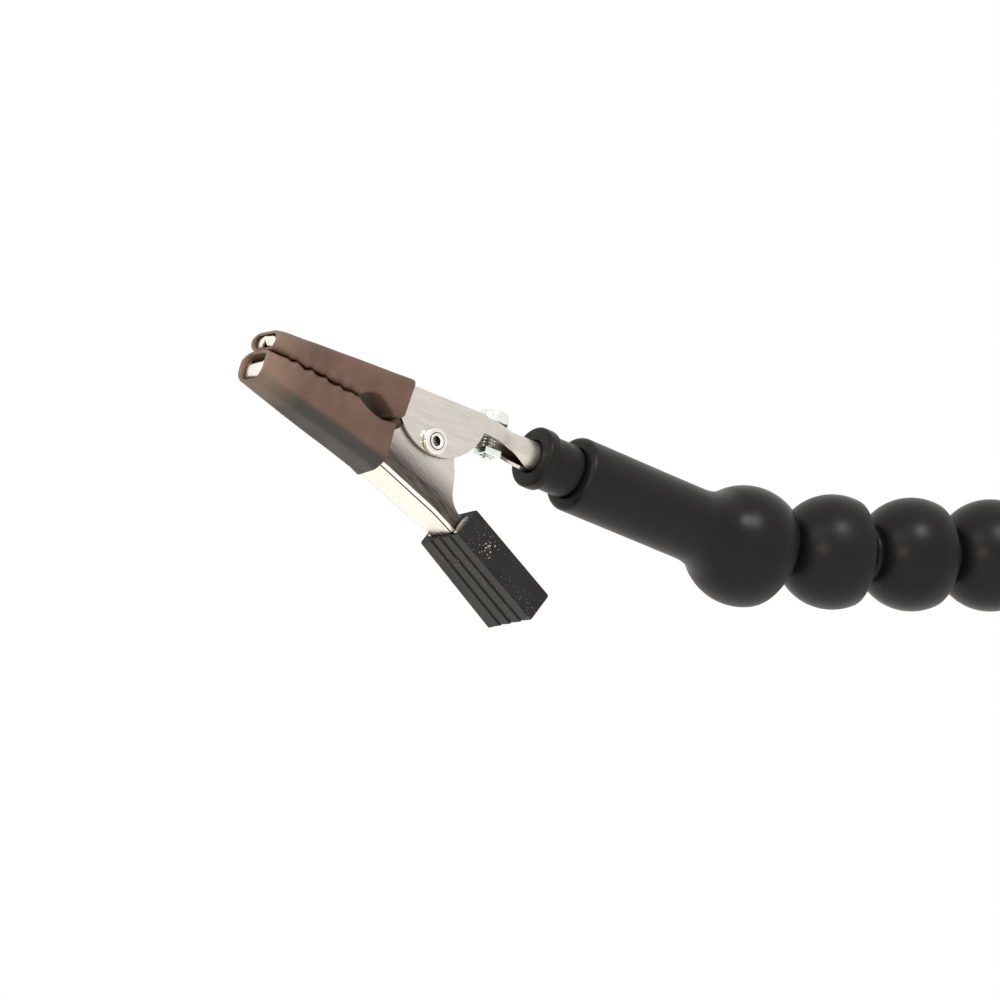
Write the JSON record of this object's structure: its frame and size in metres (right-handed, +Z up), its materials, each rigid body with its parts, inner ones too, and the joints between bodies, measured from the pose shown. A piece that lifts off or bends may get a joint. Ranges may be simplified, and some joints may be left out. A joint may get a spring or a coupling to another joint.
{
  "type": "helping-hand clip arm",
  "caption": "Sprung crocodile clip with sleeved jaws and a thumb grip, plugged into a nozzle on a ball-and-socket hose arm with a threaded base.",
  "frame": {"origin": "centre of the shoulder face of the base connector, where the threaded stub starts", "axes": "+X is the outward normal of the shoulder face, along the stub; the arm and the clip run towards -X; +Z is up in the stored pose"},
  "size_m": [0.1656, 0.0922, 0.0433],
  "materials": {
    "nickel_sheet": "nickel-plated pressed steel, fine brushed",
    "rivet": "nickel-plated steel, bright",
    "spring_steel": "spring wire, satin",
    "zinc_screw": "bright zinc plate",
    "brass_pin": "turned brass",
    "brown_sleeve": "heat-shrink tube, satin",
    "black_grip": "soft moulded plastic, satin",
    "black_hose": "moulded acetal, satin"
  },
  "bodies": {
    "base": {"base_connector": "black_hose"},
    "segment_5": {"arm_segment_5": "black_hose"},
    "segment_4": {"arm_segment_4": "black_hose"},
    "segment_3": {"arm_segment_3": "black_hose"},
    "segment_2": {"arm_segment_2": "black_hose"},
    "segment_1": {"arm_segment_1": "black_hose"},
    "nozzle_end": {"nozzle": "black_hose", "plug_body": "black_hose", "plug_pin": "brass_pin", "plug_leaves": "spring_steel", "plug_washer": "zinc_screw", "plug_nut": "zinc_screw"},
    "clip": {"fixed_jaw": "nickel_sheet", "upper_jaw_sleeve": "brown_sleeve", "pivot_rivet": "rivet", "torsion_spring": "spring_steel", "terminal_nut": "zinc_screw"},
    "lever_jaw": {"moving_jaw": "nickel_sheet", "lower_jaw_sleeve": "brown_sleeve", "thumb_grip": "black_grip"},
    "screw": {"terminal_screw": "zinc_screw"}
  },
  "joints": [
    {"name": "hose_joint_6", "type": "hinge", "parent": "base", "child": "segment_5", "pos_m": [-0.0135, 0, 0], "axis": [0, 0, 1], "range_deg": [-31, 13]},
    {"name": "hose_joint_5", "type": "hinge", "parent": "segment_5", "child": "segment_4", "pos_m": [-0.02802, -0.0023, 0], "axis": [-0.309, 0.9511, 0], "range_deg": [-20, 20]},
    {"name": "hose_joint_4", "type": "hinge", "parent": "segment_4", "child": "segment_3", "pos_m": [-0.042, -0.00684, 0.00013], "axis": [0.0158, 0.0074, 0.9998], "range_deg": [-29, 15]},
    {"name": "hose_joint_3", "type": "hinge", "parent": "segment_3", "child": "segment_2", "pos_m": [-0.05532, -0.01305, 0.00038], "axis": [-0.454, 0.891, 0], "range_deg": [-20, 20]},
    {"name": "hose_joint_2", "type": "hinge", "parent": "segment_2", "child": "segment_1", "pos_m": [-0.06841, -0.01972, 0.0009], "axis": [0.0521, 0.02, 0.9984], "range_deg": [-16, 28]},
    {"name": "hose_joint_1", "type": "hinge", "parent": "segment_1", "child": "nozzle_end", "pos_m": [-0.08211, -0.02498, 0.00172], "axis": [-0.2195, 0.6809, 0.6987], "range_deg": [-43, 0]},
    {"name": "clip_swivel", "type": "hinge", "parent": "nozzle_end", "child": "clip", "pos_m": [-0.11193, -0.04713, 0.01393], "axis": [0.7627, 0.5664, -0.3123], "continuous": true},
    {"name": "jaw_open", "type": "hinge", "parent": "clip", "child": "lever_jaw", "pos_m": [-0.13116, -0.06198, 0.01665], "axis": [0.6165, -0.7826, 0.0861], "range_deg": [0, 28], "stiffness_Nm_per_rad": 0.08, "springref_deg": -91.67, "deforming": ["torsion_spring"]},
    {"name": "screw_turn", "type": "hinge", "parent": "clip", "child": "screw", "pos_m": [-0.12035, -0.05302, 0.02063], "axis": [0.1837, 0.2493, 0.9509], "continuous": true}
  ]
}
